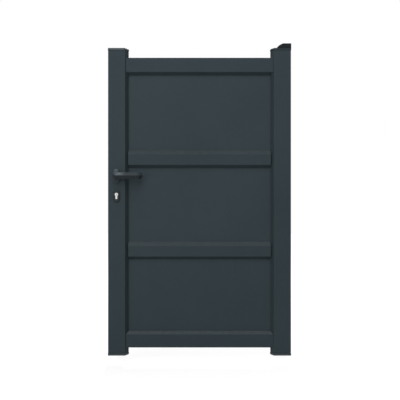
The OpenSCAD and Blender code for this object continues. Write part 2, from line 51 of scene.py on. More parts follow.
# Places on the leaf, read from the frame in metres
STILE_LO, STILE_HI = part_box("lock_stile")
HINGE_LO, HINGE_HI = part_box("hinge_stile")
FRONT_Y, BACK_Y = STILE_LO.y, STILE_HI.y
MID_Y = (FRONT_Y + BACK_Y) / 2
LEAF_LO = Vector((STILE_LO.x, FRONT_Y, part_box("lock_stile_foot_cap")[0].z))
LEAF_HI = Vector((HINGE_HI.x, BACK_Y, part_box("lock_stile_top_cap")[1].z))
RAILS = ("top_rail", "upper_mid_rail", "lower_mid_rail", "bottom_rail")
PANELS = ("upper_panel", "middle_panel", "lower_panel")
STILES = ("lock_stile", "hinge_stile")
SIDES = ((-1, "front"), (1, "back"))
SAME = 1e-5  # places closer than this are the same
CAPS = ("lock_stile_top_cap", "lock_stile_foot_cap", "hinge_stile_top_cap", "hinge_stile_foot_cap",
        "upper_rail_lock_plug", "upper_rail_hinge_plug", "lower_rail_lock_plug", "lower_rail_hinge_plug")

# Edges that bend less than this are smooth, in degrees: on plain pieces, key plugs, and beads and seals
PLAIN_ANGLE, PLUG_ANGLE, ROUND_ANGLE = 35, 30, 60

# Outline of the collar round a lever neck in metres: radius, and height above the rose
LEVER_COLLAR = ((0.0093, 0), (0.0122, 0), (0.0122, 0.0009), (0.0116, 0.0016), (0.0104, 0.0018),
                (0.0093, 0.0014), (0.0093, 0))
# Outline of the key slot in metres, from the middle of the key plug
KEY_SLOT = ((-0.0006, -0.0044), (0.0009, -0.0044), (0.0009, -0.0021), (0.0014, -0.0016), (0.0014, -0.0003),
            (0.0006, 0.0003), (0.0006, 0.0019), (0.0011, 0.0024), (0.0011, 0.0046), (-0.0006, 0.0046),
            (-0.0006, 0.0012), (-0.0011, 0.0007), (-0.0011, -0.0012), (-0.0006, -0.0018))

# Lamps of the studio: property that holds the power, place and size in metres.
# The place is x from the middle of the leaf, and y and z in the frame.
LAMPS = {"key light": ("key_power", (-0.4, -4.6, 3.7), (2.8, 5.0)),
         "fill light": ("fill_power", (-2.5, -4.0, 0.9), (2.0, 3.0)),
         "back light": ("back_power", (0.6, 4.4, 3.9), (2.2, 2.2)),
         "side light": ("side_power", (3.6, 0.35, 0.55), (0.6, 1.0))}
# Sensor of the camera in millimetres, and its place to the right of and above the middle of the leaf
SENSOR = 36
CAMERA_RIGHT, CAMERA_UP = 0.0026, 0.0094
# Pale floor: its grey, its radius in metres, and its glow near the gate and far away
FLOOR_GREY = (0.5, 0.5, 0.495)
FLOOR_RADIUS = 14
NEAR, NEAR_GLOW = 1.2, 0.71
FAR, FAR_GLOW = 4.0, 1.0


class GateFinish(bpy.types.PropertyGroup):
    """Colours and coat of the leaf and its fittings."""

    frame_colour: bpy.props.FloatVectorProperty(
        name="Frame colour", description="Powder coat on the stiles and rails",
        subtype="COLOR", size=3, min=0, max=1, default=(0.0306, 0.0430, 0.0498))
    panel_colour: bpy.props.FloatVectorProperty(
        name="Panel colour", description="Powder coat on the three sheet panels",
        subtype="COLOR", size=3, min=0, max=1, default=(0.0322, 0.0454, 0.0526))
    cap_colour: bpy.props.FloatVectorProperty(
        name="Cap colour", description="Moulded end caps of the stiles",
        subtype="COLOR", size=3, min=0, max=1, default=(0.0293, 0.0397, 0.0462))
    hinge_colour: bpy.props.FloatVectorProperty(
        name="Hinge colour", description="Black coat on the hinge pieces",
        subtype="COLOR", size=3, min=0, max=1, default=(0.0088, 0.0121, 0.0147))
    handle_colour: bpy.props.FloatVectorProperty(
        name="Handle colour", description="Satin coat on the levers and their roses",
        subtype="COLOR", size=3, min=0, max=1, default=(0.0158, 0.0207, 0.0237))
    key_rose_colour: bpy.props.FloatVectorProperty(
        name="Key rose colour", description="Satin coat on the roses round the key cylinder",
        subtype="COLOR", size=3, min=0, max=1, default=(0.0189, 0.0247, 0.0280))
    coat_roughness: bpy.props.FloatProperty(
        name="Coat roughness", description="Mean roughness of the powder coat",
        subtype="FACTOR", min=0.2, max=0.9, default=0.56)
    grain: bpy.props.FloatProperty(
        name="Coat grain", description="Size of the fine grain in the powder coat",
        unit="LENGTH", min=0.0003, max=0.003, default=0.0008)


class GateTrim(bpy.types.PropertyGroup):
    """Sizes of the small pieces: seals, screws, welds and covers."""

    seal_width: bpy.props.FloatProperty(
        name="Seal width", description="Width of the seal round each panel",
        unit="LENGTH", min=0.001, max=0.004, default=0.0026)
    seal_height: bpy.props.FloatProperty(
        name="Seal height", description="How far the seal stands on the panel",
        unit="LENGTH", min=0.001, max=0.0032, default=0.0026)
    flag_head: bpy.props.FloatProperty(
        name="Hinge screw head", description="Radius of the screw heads on the lower hinge",
        unit="LENGTH", min=0.003, max=0.0065, default=0.005)
    strap_head: bpy.props.FloatProperty(
        name="Strap screw head", description="Radius of the flat screw heads on the upper strap",
        unit="LENGTH", min=0.003, max=0.007, default=0.0055)
    lock_head: bpy.props.FloatProperty(
        name="Lock screw head", description="Radius of the screw heads on the lock faceplate",
        unit="LENGTH", min=0.002, max=0.005, default=0.0038)
    weld_radius: bpy.props.FloatProperty(
        name="Weld radius", description="Of the weld beads on the hinge brackets",
        unit="LENGTH", min=0.001, max=0.004, default=0.0024)
    weld_pitch: bpy.props.FloatProperty(
        name="Weld pitch", description="From one ripple of a weld bead to the next",
        unit="LENGTH", min=0.001, max=0.005, default=0.0022)
    plate: bpy.props.FloatProperty(
        name="Bracket plate", description="Thickness of the plates of the hinge brackets",
        unit="LENGTH", min=0.004, max=0.008, default=0.006)
    arm_height: bpy.props.FloatProperty(
        name="Bracket arm", description="Height of the arms of the hinge brackets",
        unit="LENGTH", min=0.01, max=0.04, default=0.022)
    cover_radius: bpy.props.FloatProperty(
        name="Cover radius", description="Radius of the covers over the rail screws",
        unit="LENGTH", min=0.004, max=0.009, default=0.006)
    cover_height: bpy.props.FloatProperty(
        name="Cover height", description="How far the covers stand on the edge of the stile",
        unit="LENGTH", min=0.0003, max=0.0015, default=0.0008)


class GateStage(bpy.types.PropertyGroup):
    """Camera, lights and floor."""

    distance: bpy.props.FloatProperty(
        name="Camera distance", description="From the front of the leaf to the camera",
        unit="LENGTH", min=1.5, max=10, default=3.6)
    picture_width: bpy.props.FloatProperty(
        name="Picture width", description="What the square picture takes in at the front of the leaf",
        unit="LENGTH", min=1, max=4, default=2.098)
    key_power: bpy.props.FloatProperty(
        name="Key light", description="Power of the large soft light above the camera, in watts",
        min=0, max=1000, default=212)
    fill_power: bpy.props.FloatProperty(
        name="Fill light", description="Power of the low light to the left of the camera, in watts",
        min=0, max=1000, default=54)
    back_power: bpy.props.FloatProperty(
        name="Back light", description="Power of the light behind the gate, in watts",
        min=0, max=1000, default=190)
    side_power: bpy.props.FloatProperty(
        name="Side light", description="Power of the low light on the hinge side, in watts",
        min=0, max=1000, default=32)
    room: bpy.props.FloatProperty(
        name="Room light", description="Strength of the even light from the room",
        min=0, max=1, default=0.14)
    clearance: bpy.props.FloatProperty(
        name="Ground clearance", description="From the floor to the foot of the leaf",
        unit="LENGTH", min=0.01, max=0.2, default=0.05)


class NodeMaker:
    """Adds, feeds and links the nodes of one tree."""

    def __init__(self, tree):
        self.tree = tree

    def add(self, kind, values=None, **settings):
        """A new node with its settings and the values of its inputs."""
        node = self.tree.nodes.new(kind)
        for key, value in settings.items():
            setattr(node, key, value)
        for key, value in (values or {}).items():
            self.feed(node.inputs[key], value)
        return node

    def feed(self, target, value):
        """Links a socket, or writes a plain value or colour."""
        if isinstance(value, bpy.types.NodeSocket):
            self.tree.links.new(value, target)
        elif target.type == "RGBA" and len(value) == 3:
            target.default_value = (*value, 1)
        else:
            target.default_value = value

    def maths(self, operation, a, b=0.0):
        return self.add("ShaderNodeMath", {0: a, 1: b}, operation=operation).outputs[0]

    def span(self, value, low, high, to_low=0.0, to_high=1.0):
        """Maps low..high to to_low..to_high, held at both ends."""
        return self.add("ShaderNodeMapRange", {
            "Value": value, "From Min": low, "From Max": high,
            "To Min": to_low, "To Max": to_high}).outputs["Result"]

    def seen_rays(self):
        """1 for rays that see the background: from the camera, from gloss and through glass."""
        path = self.add("ShaderNodeLightPath").outputs
        mirrored = self.maths("MAXIMUM", path["Is Glossy Ray"], path["Is Transmission Ray"])
        return self.maths("MAXIMUM", path["Is Camera Ray"], mirrored)


def cleared_tree(owner):
    """The emptied node tree of a new material or world."""
    owner.use_nodes = True
    owner.node_tree.nodes.clear()
    return owner.node_tree


class Finish(NodeMaker):
    """A material being made: its shader and its patterns, on the gate's own coordinates."""

    def __init__(self, name, **constants):
        self.material = bpy.data.materials.new(name)
        super().__init__(cleared_tree(self.material))
        self.shader = self.add("ShaderNodeBsdfPrincipled", {
            socket.replace("_", " "): value for socket, value in constants.items()})
        self.add("ShaderNodeOutputMaterial", {"Surface": self.shader.outputs["BSDF"]})
        self.place = self.add("ShaderNodeTexCoord").outputs["Object"]
        self.normal = None

    def noise(self, scale, detail, rough, stretch=None):
        """Noise of a scale per metre, on coordinates stretched along each axis if asked."""
        place = self.place
        if stretch:
            place = self.add("ShaderNodeMapping", {"Scale": stretch, "Vector": place}).outputs["Vector"]
        return self.add("ShaderNodeTexNoise", {
            "Vector": place, "Scale": scale, "Detail": detail, "Roughness": rough}).outputs["Fac"]

    def cells(self, scale, feature="F1"):
        """Distance to the middle of small cells, of a scale per metre."""
        return self.add("ShaderNodeTexVoronoi", {
            "Vector": self.place, "Scale": scale}, feature=feature).outputs["Distance"]

    def blend(self, amount, a, b):
        """Colour a where the amount is 0 and colour b where it is 1."""
        return self.add("ShaderNodeMix", {0: amount, 6: a, 7: b}, data_type="RGBA").outputs[2]

    def near(self, x, z, reach):
        """1 at a point of the front view, falling to 0 at its reach."""
        shift = self.add("ShaderNodeMapping", {
            "Location": (-x, 0, -z), "Scale": (1, 0, 1), "Vector": self.place}).outputs["Vector"]
        away = self.add("ShaderNodeVectorMath", {0: shift}, operation="LENGTH").outputs["Value"]
        return self.span(away, 0.2 * reach, reach, 1, 0)

    def along(self, axis):
        """One of the gate's own coordinates in metres."""
        return self.add("ShaderNodeSeparateXYZ", {0: self.place}).outputs[axis]

    def facing_up(self):
        """Height part of the surface direction, from -1 to 1."""
        normal = self.add("ShaderNodeNewGeometry").outputs["Normal"]
        return self.add("ShaderNodeSeparateXYZ", {0: normal}).outputs["Z"]

    def bump(self, height, depth, strength):
        """Adds relief of the given depth in metres."""
        node = self.add("ShaderNodeBump", {"Strength": strength, "Distance": depth, "Height": height})
        if self.normal is not None:
            self.feed(node.inputs["Normal"], self.normal)
        self.normal = node.outputs["Normal"]

    def done(self, colour, roughness):
        """Feeds the shader and gives back the material."""
        for socket, value in (("Base Color", colour), ("Roughness", roughness), ("Normal", self.normal)):
            if value is not None:
                self.feed(self.shader.inputs[socket], value)
        return self.material


def tinted(colour, factor):
    """A colour made lighter or darker."""
    return tuple(c * factor for c in colour)


def powder_coat(name, colour, roughness, grain, rolled=False):
    """Fine textured powder coat: cloudy tone, flecks, pits, orange peel, and settled dust that is also a
    painted highlight on faces turned up.
    """
    coat = Finish(name, Specular_IOR_Level=0.06)
    cloud = coat.span(coat.noise(2.3, 4, 0.55), 0.32, 0.68)
    tone = coat.blend(cloud, tinted(colour, 0.93), tinted(colour, 1.07))
    patch = coat.span(coat.noise(26, 5, 0.6), 0.35, 0.7, 0, 0.35)
    tone = coat.blend(patch, tone, tinted(colour, 1.12))
    fleck = coat.span(coat.noise(1 / grain, 1, 0.4), 0.6, 0.72, 0, 0.5)
    tone = coat.blend(fleck, tone, tinted(colour, 1.6))
    pit = coat.span(coat.noise(0.8 / grain, 1, 0.4), 0.28, 0.38, 0.45, 0)
    tone = coat.blend(pit, tone, tinted(colour, 0.6))
    # Faces turned up are lightened, more towards the foot: partly settled dust, partly painted highlight for
    # light from above.
    settled = coat.span(coat.facing_up(), 0.35, 0.9, 0, 0.27)
    dust = coat.maths("MULTIPLY", settled, coat.span(coat.noise(48, 5, 0.65), 0.2, 0.85, 0.3, 1.0))
    stronger_near_foot = coat.span(coat.along("Z"), LEAF_LO.z, LEAF_LO.z + 0.5, 1.6, 1.0)
    tone = coat.blend(coat.maths("MULTIPLY", dust, stronger_near_foot), tone, (0.159, 0.182, 0.19))
    if rolled:
        coat.bump(coat.noise(9, 2, 0.5, (1.0, 1.0, 0.12)), 0.0009, 0.35)
    coat.bump(coat.noise(170, 2, 0.45), 0.00012, 0.55)
    coat.bump(coat.noise(1 / grain, 2, 0.6), 0.00006, 0.6)
    gloss = coat.span(coat.noise(60, 4, 0.6), 0.25, 0.75, roughness - 0.05, roughness + 0.06)
    return coat.done(tone, gloss)


def moulded_plastic(name, colour, roughness=0.5, strap_shade_x=None):
    """Moulded plastic with a fine grained skin and faint flow marks, and painted shade on its top beyond a
    given x.
    """
    skin = Finish(name, Specular_IOR_Level=0.3 if strap_shade_x is None else 0.04)
    flow = skin.span(skin.noise(38, 3, 0.5, (1.0, 1.0, 0.35)), 0.3, 0.7)
    tone = skin.blend(flow, tinted(colour, 0.9), tinted(colour, 1.12))
    settled = skin.span(skin.facing_up(), 0.4, 0.95, 0, 0.1)
    dust = skin.maths("MULTIPLY", settled, skin.span(skin.noise(70, 5, 0.65), 0.35, 0.75))
    tone = skin.blend(dust, tone, (0.195, 0.195, 0.182))
    # Painted shadow of the hinge strap: faces turned up beyond the given x are darkened.
    if strap_shade_x is not None:
        upper = skin.span(skin.facing_up(), 0.1, 0.5)
        beyond = skin.span(skin.along("X"), strap_shade_x - 0.006, strap_shade_x + 0.012, 0, 0.9)
        tone = skin.blend(skin.maths("MULTIPLY", upper, beyond), tone, tinted(colour, 0.15))
    skin.bump(skin.cells(1500), 0.00005, 0.6)
    skin.bump(skin.noise(420, 3, 0.6), 0.00004, 0.5)
    gloss = skin.span(skin.noise(90, 4, 0.6), 0.25, 0.75, roughness - 0.06, roughness + 0.07)
    return skin.done(tone, gloss)


def cast_black(name, colour):
    """Black coat over cast and plate steel: lumpy skin, slight grey bloom."""
    coat = Finish(name, Specular_IOR_Level=0.06)
    bloom = coat.span(coat.noise(75, 5, 0.62), 0.38, 0.72)
    tone = coat.blend(bloom, tinted(colour, 0.8), tinted(colour, 1.7))
    rub = coat.span(coat.noise(900, 2, 0.5), 0.66, 0.76, 0, 0.35)
    tone = coat.blend(rub, tone, tinted(colour, 4.0))
    coat.bump(coat.noise(330, 4, 0.6), 0.00022, 0.55)
    coat.bump(coat.cells(1100, "SMOOTH_F1"), 0.00008, 0.5)
    gloss = coat.span(coat.noise(120, 4, 0.6), 0.25, 0.75, 0.42, 0.58)
    return coat.done(tone, gloss)


def satin_coat(name, colour, specular, rub_and_highlight_spot=None, highlight_strength=0.0, top_highlight=0.0):
    """Satin coat of the hand parts, brushed lengthwise.

    Near a point (x, z, reach) it is rubbed smoother and carries a painted highlight, and where it faces up
    it is painted lighter as a painted highlight.
    """
    coat = Finish(name, Specular_IOR_Level=specular)
    brush = coat.noise(1, 3, 0.6, (70.0, 2600.0, 2600.0))
    tone = coat.blend(coat.span(brush, 0.3, 0.7), tinted(colour, 0.85), tinted(colour, 1.25))
    rub = coat.span(coat.noise(55, 4, 0.6), 0.45, 0.75, 0, 0.4)
    tone = coat.blend(rub, tone, tinted(colour, 1.7))
    coat.bump(brush, 0.00003, 0.4)
    coat.bump(coat.noise(700, 2, 0.5), 0.00003, 0.4)
    gloss = coat.span(coat.noise(80, 5, 0.62), 0.28, 0.75, 0.44, 0.58)
    if rub_and_highlight_spot:
        rub_and_highlight_mask = coat.near(*rub_and_highlight_spot)
        if top_highlight:
            # Painted highlight: faces turned up are made lighter.
            upper = coat.span(coat.facing_up(), 0.1, 0.5)
            tone = coat.blend(coat.maths("MULTIPLY", upper, top_highlight), tone, tinted(colour, 2.8))
            rub_and_highlight_mask = coat.maths("MULTIPLY", rub_and_highlight_mask, upper)
        # Painted highlight at the spot, which is also rubbed smoother.
        tone = coat.blend(coat.maths("MULTIPLY", rub_and_highlight_mask, highlight_strength), tone, tinted(colour, 6.0))
        gloss = coat.maths("SUBTRACT", gloss, coat.maths("MULTIPLY", rub_and_highlight_mask, 0.3))
    return coat.done(tone, gloss)


def brushed_steel(name, colour, per_metre, rough):
    """Bare steel with brush lines, so many per metre along each axis."""
    steel = Finish(name, Metallic=1.0)
    lines = steel.noise(1, 4, 0.62, per_metre)
    tone = steel.blend(steel.span(lines, 0.3, 0.7), tinted(colour, 0.82), tinted(colour, 1.12))
    stain = steel.span(steel.noise(95, 5, 0.65), 0.5, 0.8, 0, 0.5)
    tone = steel.blend(stain, tone, tinted(colour, 0.6))
    steel.bump(lines, 0.00004, 0.5)
    gloss = steel.span(lines, 0.25, 0.75, rough - 0.07, rough + 0.1)
    return steel.done(tone, gloss)


def polished_nickel(name):
    """Nickel plate with hairline scratches and faint finger marks."""
    plate = Finish(name, Metallic=1.0)
    hair = plate.noise(1, 2, 0.55, (5200.0, 5200.0, 160.0))
    mark = plate.span(plate.noise(140, 5, 0.6), 0.42, 0.72)
    tone = plate.blend(mark, (0.64, 0.64, 0.626), (0.53, 0.53, 0.516))
    plate.bump(hair, 0.00001, 0.3)
    gloss = plate.maths("ADD", plate.span(hair, 0.35, 0.7, 0.1, 0.18), plate.span(mark, 0, 1, 0, 0.1))
    return plate.done(tone, gloss)


def nylon(name):
    """Pale nylon of the bushes, a little greasy."""
    skin = Finish(name, Specular_IOR_Level=0.45)
    grease = skin.span(skin.noise(160, 4, 0.6), 0.5, 0.75, 0, 0.6)
    cloud = skin.span(skin.noise(420, 3, 0.5), 0.3, 0.7)
    tone = skin.blend(cloud, (0.56, 0.545, 0.49), (0.64, 0.625, 0.575))
    tone = skin.blend(grease, tone, (0.3, 0.28, 0.235))
    skin.bump(skin.noise(1, 3, 0.5, (500.0, 500.0, 4200.0)), 0.00005, 0.5)
    gloss = skin.span(grease, 0, 0.6, 0.48, 0.26)
    return skin.done(tone, gloss)


def seal_rubber(name, shade):
    """Matt dark grey seal with a talc bloom."""
    skin = Finish(name, Specular_IOR_Level=0.22)
    talc = skin.span(skin.noise(210, 5, 0.65), 0.4, 0.8)
    clean, bloomed = (0.0195, 0.0254, 0.0293), (0.0312, 0.0377, 0.0416)
    tone = skin.blend(talc, tinted(clean, shade), tinted(bloomed, shade))
    skin.bump(skin.noise(1900, 2, 0.6), 0.00006, 0.6)
    gloss = skin.span(talc, 0, 1, 0.62, 0.78)
    return skin.done(tone, gloss)


def keyway_shade_finish(name):
    """Near-black floor of the key slot: painted shade for the depth of a real keyway."""
    skin = Finish(name, Specular_IOR_Level=0.1)
    tone = skin.blend(skin.noise(2500, 3, 0.6), (0.004, 0.004, 0.004), (0.016, 0.015, 0.013))
    skin.bump(skin.noise(3200, 2, 0.5), 0.00005, 0.5)
    return skin.done(tone, skin.span(skin.noise(1800, 3, 0.5), 0.3, 0.7, 0.7, 0.9))


def dress(material, *nodes):
    """Gives CAD nodes a finish on all of their material slots."""
    for name in nodes:
        slots = NODES[name].data.materials
        if not slots:
            slots.append(material)
        for i in range(len(slots)):
            slots[i] = material


def piece(name, mesh, material, body):
    """A finished piece at the origin that rides on a body."""
    obj = bpy.data.objects.new(name, mesh)
    bpy.context.scene.collection.objects.link(obj)
    if material is not None:
        mesh.materials.clear()
        mesh.materials.append(material)
    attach(obj, body)


def closed_mesh(name, bm, smooth_angle=PLAIN_ANGLE):
    """Merges doubles, turns the faces outwards and keeps sharp edges sharp."""
    bmesh.ops.remove_doubles(bm, verts=bm.verts, dist=1e-7)
    bmesh.ops.recalc_face_normals(bm, faces=bm.faces)
    limit = math.radians(smooth_angle)
    for face in bm.faces:
        face.smooth = True
    for edge in bm.edges:
        edge.smooth = len(edge.link_faces) == 2 and edge.calc_face_angle(0) < limit
    mesh = bpy.data.meshes.new(name)
    bm.to_mesh(mesh)
    bm.free()
    return mesh


def ring_points(steps):
    """Points of a circle of radius 1."""
    angles = [2 * math.pi * i / steps for i in range(steps)]
    return [(math.cos(a), math.sin(a)) for a in angles]


def turned(name, profile, centre, axis, steps=56):
    """Mesh turned round an axis from a closed outline of points (radius, height along the axis)."""
    bm = bmesh.new()
    turn = Vector(axis).to_track_quat("Z", "Y").to_matrix().to_4x4()
    place = Matrix.Translation(centre) @ turn
    rings = [[bm.verts.new(place @ Vector((radius * x, radius * y, height))) for x, y in ring_points(steps)]
             for radius, height in profile]
    for low, high in zip(rings, rings[1:]):
        for i in range(steps):
            j = (i + 1) % steps
            bm.faces.new((low[i], low[j], high[j], high[i]))
    return closed_mesh(name, bm)


def key_plug_mesh(name, centre, side):
    """Round key plug that stands on the cylinder's end, with a stepped key slot sunk into it."""
    radius, height, bevel = 0.0064, 0.0011, 0.0004
    sink = 0.00012  # height of the slot's floor
    within = 0.8 * radius  # holds the whole slot
    place = Matrix.Translation(centre) @ Matrix(((1, 0, 0, 0), (0, 0, side, 0), (0, 1, 0, 0), (0, 0, 0, 1)))
    bm = bmesh.new()

    def loop(points, z):
        verts = [bm.verts.new(place @ Vector((x, y, z))) for x, y in points]
        return verts, [bm.edges.new((verts[i], verts[(i + 1) % len(verts)])) for i in range(len(verts))]

    def circle(size, z):
        return loop([(size * x, size * y) for x, y in ring_points(64)], z)

    def wall(a, b):
        for i in range(len(a)):
            j = (i + 1) % len(a)
            bm.faces.new((a[i], a[j], b[j], b[i]))

    foot, _ = circle(radius, 0)
    rim, _ = circle(radius, height - bevel)
    top, top_edges = circle(radius - bevel, height)
    mouth, mouth_edges = loop(KEY_SLOT, height)
    floor, _ = loop(KEY_SLOT, sink)
    wall(foot, rim)
    wall(rim, top)
    wall(mouth, floor)
    bmesh.ops.triangle_fill(bm, edges=top_edges + mouth_edges, use_beauty=True)
    bm.faces.new(floor)
    bm.faces.new(foot)
    mesh = closed_mesh(name, bm, PLUG_ANGLE)
    for face in mesh.polygons:
        deep = (face.center.y - centre[1]) * side < sink + SAME
        inner = Vector((face.center.x - centre[0], face.center.z - centre[2])).length < within
        face.material_index = 1 if deep and inner else 0
    return mesh


class NodeShop(NodeMaker):
    """A Geometry Nodes tree being made, with named inputs for its sizes."""

    def __init__(self, name, sizes):
        super().__init__(bpy.data.node_groups.new(name, "GeometryNodeTree"))
        sockets = self.tree.interface
        sockets.new_socket("Geometry", in_out="OUTPUT", socket_type="NodeSocketGeometry")
        sockets.new_socket("Geometry", in_out="INPUT", socket_type="NodeSocketGeometry")
        self.named = {}
        for size, default in sizes.items():
            socket = sockets.new_socket(size, in_out="INPUT", socket_type="NodeSocketFloat")
            socket.default_value = default
            self.named[size] = socket.identifier
        self.inputs = self.add("NodeGroupInput")

    def given(self, name):
        """Socket of a named input."""
        return self.inputs.outputs[name]

    def share(self, size, factor):
        """A size times a factor."""
        return self.maths("MULTIPLY", size, factor)

    def vector(self, x=0.0, y=0.0, z=0.0):
        return self.add("ShaderNodeCombineXYZ", {"X": x, "Y": y, "Z": z}).outputs[0]

    def raised(self, geometry, height):
        """Geometry moved up by a height."""
        return self.add("GeometryNodeTransform", {
            "Geometry": geometry, "Translation": self.vector(z=height)}).outputs[0]

    def cylinder(self, sides, radius, depth):
        return self.add("GeometryNodeMeshCylinder", {"Vertices": sides, "Radius": radius, "Depth": depth})

    def cut(self, body, tool):
        """A body with a tool's shape taken out of it."""
        return self.add("GeometryNodeMeshBoolean", {
            "Mesh 1": body, "Mesh 2": tool}, operation="DIFFERENCE").outputs["Mesh"]

    def edge_paths(self):
        """Curves along the edges of the base mesh."""
        return self.add("GeometryNodeMeshToCurve", {"Mesh": self.given("Geometry")}).outputs[0]

    def circle(self, points, radius):
        return self.add("GeometryNodeCurvePrimitiveCircle", {
            "Resolution": points, "Radius": radius}).outputs["Curve"]

    def swept(self, path, outline, capped=False):
        """An outline drawn along a path."""
        return self.add("GeometryNodeCurveToMesh", {
            "Curve": path, "Profile Curve": outline, "Fill Caps": capped}).outputs[0]

    def finish(self, geometry, material):
        """Ends the tree in real geometry with its material."""
        real = self.add("GeometryNodeRealizeInstances", {"Geometry": geometry}).outputs[0]
        coated = self.add("GeometryNodeSetMaterial", {"Geometry": real, "Material": material}).outputs[0]
        self.add("NodeGroupOutput", {0: coated})
        return self


def grown_mesh(name, shop, base, sizes, smooth_angle=PLAIN_ANGLE):
    """Runs a tree on a base mesh with its sizes set, and gives back a plain mesh."""
    obj = bpy.data.objects.new(name + "_base", base)
    bpy.context.scene.collection.objects.link(obj)
    modifier = obj.modifiers.new("Grow", "NODES")
    modifier.node_group = shop.tree
    for key, value in sizes.items():
        modifier[shop.named[key]] = value
    graph = bpy.context.evaluated_depsgraph_get()
    mesh = bpy.data.meshes.new_from_object(obj.evaluated_get(graph), depsgraph=graph)
    obj.modifiers.remove(modifier)
    bpy.data.objects.remove(obj)
    if not mesh.polygons:
        raise RuntimeError(name + " came out empty")
    materials = list(mesh.materials)
    bm = bmesh.new()
    bm.from_mesh(mesh)
    made = closed_mesh(name, bm, smooth_angle)
    for material in materials:
        made.materials.append(material)
    bpy.data.meshes.remove(mesh)
    return made


def line_mesh(name, lines):
    """Loose edges through the points of each line, given as (points, closed)."""
    verts, edges = [], []
    for points, closed in lines:
        first, count = len(verts), len(points)
        verts += points
        edges += [(first + i, first + (i + 1) % count) for i in range(count if closed else count - 1)]
    mesh = bpy.data.meshes.new(name)
    mesh.from_pydata(verts, edges, [])
    return mesh


def spots(name, places):
    """Loose points that carry the direction in which each piece faces."""
    mesh = bpy.data.meshes.new(name)
    mesh.from_pydata([p for p, _ in places], [], [])
    facing = mesh.attributes.new("facing", "FLOAT_VECTOR", "POINT")
    for i, (_, direction) in enumerate(places):
        facing.data[i].vector = direction
    return mesh


def set_on_spots(shop, head):
    """Instances of a head on the points, each turned to its facing."""
    facing = shop.add("GeometryNodeInputNamedAttribute", {"Name": "facing"}, data_type="FLOAT_VECTOR")
    turn = shop.add("FunctionNodeAlignRotationToVector", {"Vector": facing.outputs[0]}, axis="Z")
    return shop.add("GeometryNodeInstanceOnPoints", {
        "Points": shop.given("Geometry"), "Instance": head, "Rotation": turn.outputs[0]}).outputs[0]


def crowned_disc(shop):
    """Disc of the tree's Radius and Height with a straight rim and a stepped crown, on z = 0."""
    height = shop.given("Height")
    rim = 0.4  # share of the height
    base = shop.cylinder(32, shop.given("Radius"), shop.share(height, rim))
    body, crown = base.outputs["Mesh"], base.outputs["Top"]
    for rise, shrink in ((0.3, 0.9), (0.2, 0.82), (0.1, 0.7)):
        grow = shop.add("GeometryNodeExtrudeMesh", {
            "Mesh": body, "Selection": crown, "Offset": shop.vector(z=shop.share(height, rise)),
            "Individual": False}, mode="FACES")
        squeeze = shop.add("GeometryNodeScaleElements", {
            "Geometry": grow.outputs["Mesh"], "Selection": grow.outputs["Top"], "Scale": shrink})
        body, crown = squeeze.outputs[0], grow.outputs["Top"]
    return shop.raised(body, shop.share(height, rim / 2))


def screw_tree(name, material):
    """Screw heads with a six-sided socket, on points."""
    shop = NodeShop(name, {"Radius": 0.005, "Height": 0.002, "Socket radius": 0.002, "Socket depth": 0.001})
    head = crowned_disc(shop)
    key = shop.cylinder(6, shop.given("Socket radius"), shop.share(shop.given("Socket depth"), 2.0))
    head = shop.cut(head, shop.raised(key.outputs["Mesh"], shop.given("Height")))
    return shop.finish(set_on_spots(shop, head), material)


def cover_tree(name, material):
    """Round press-in covers with a shallow dished middle, on points."""
    shop = NodeShop(name, {"Radius": 0.006, "Height": 0.0008})
    head = crowned_disc(shop)
    dish = shop.cylinder(28, shop.share(shop.given("Radius"), 0.42), shop.share(shop.given("Height"), 0.9))
    head = shop.cut(head, shop.raised(dish.outputs["Mesh"], shop.given("Height")))
    return shop.finish(set_on_spots(shop, head), material)


def seal_tree(name, material):
    """A round seal along every edge loop of the base mesh."""
    shop = NodeShop(name, {"Width": 0.0026, "Height": 0.0026})
    path = shop.edge_paths()
    flat = shop.vector(x=shop.given("Width"), y=shop.given("Height"), z=1.0)
    outline = shop.add("GeometryNodeTransform", {"Geometry": shop.circle(12, 0.5), "Scale": flat}).outputs[0]
    return shop.finish(shop.swept(path, outline), material)


def weld_tree(name, material):
    """A rippled weld bead along every open edge chain of the base mesh."""
    shop = NodeShop(name, {"Radius": 0.0024, "Pitch": 0.0022})
    bend, step = 0.004, 0.0004  # radius of the bead's path in the corners, and length between its rings
    mean, ripple, unevenness = 0.86, 0.07, 0.22  # shares of the radius
    path = shop.add("GeometryNodeFilletCurve", {
        "Curve": shop.edge_paths(), "Count": 6, "Radius": bend}, mode="POLY").outputs[0]
    path = shop.add("GeometryNodeResampleCurve", {"Curve": path, "Length": step}, mode="LENGTH").outputs[0]
    along = shop.add("GeometryNodeSplineParameter").outputs["Length"]
    turns = shop.maths("DIVIDE", along, shop.given("Pitch"))
    wave = shop.maths("SINE", shop.share(turns, math.tau))
    drift = shop.add("ShaderNodeTexNoise", {"Scale": 160.0, "Detail": 2.0}).outputs[0]
    swell = shop.maths("ADD", shop.share(wave, ripple), shop.share(drift, unevenness))
    path = shop.add("GeometryNodeSetCurveRadius", {
        "Curve": path, "Radius": shop.maths("ADD", swell, mean)}).outputs[0]
    bead = shop.swept(path, shop.circle(16, shop.given("Radius")), capped=True)
    return shop.finish(bead, material)


def joint_outline(node, end, outward):
    """Corners of the narrow joint between a stile's end and its cap, and the joint's height."""
    points = [v.co for v in NODES[node].data.vertices]
    level = [(p.x, p.y) for p in points if abs(p.z - end) < SAME]
    if len(level) < 6:
        raise RuntimeError(node + " has no joint at the end of its stile")
    height = min((p.z - end) * outward for p in points if (p.z - end) * outward > 10 * SAME)
    return [level[i] for i in convex_hull_2d(level)], height


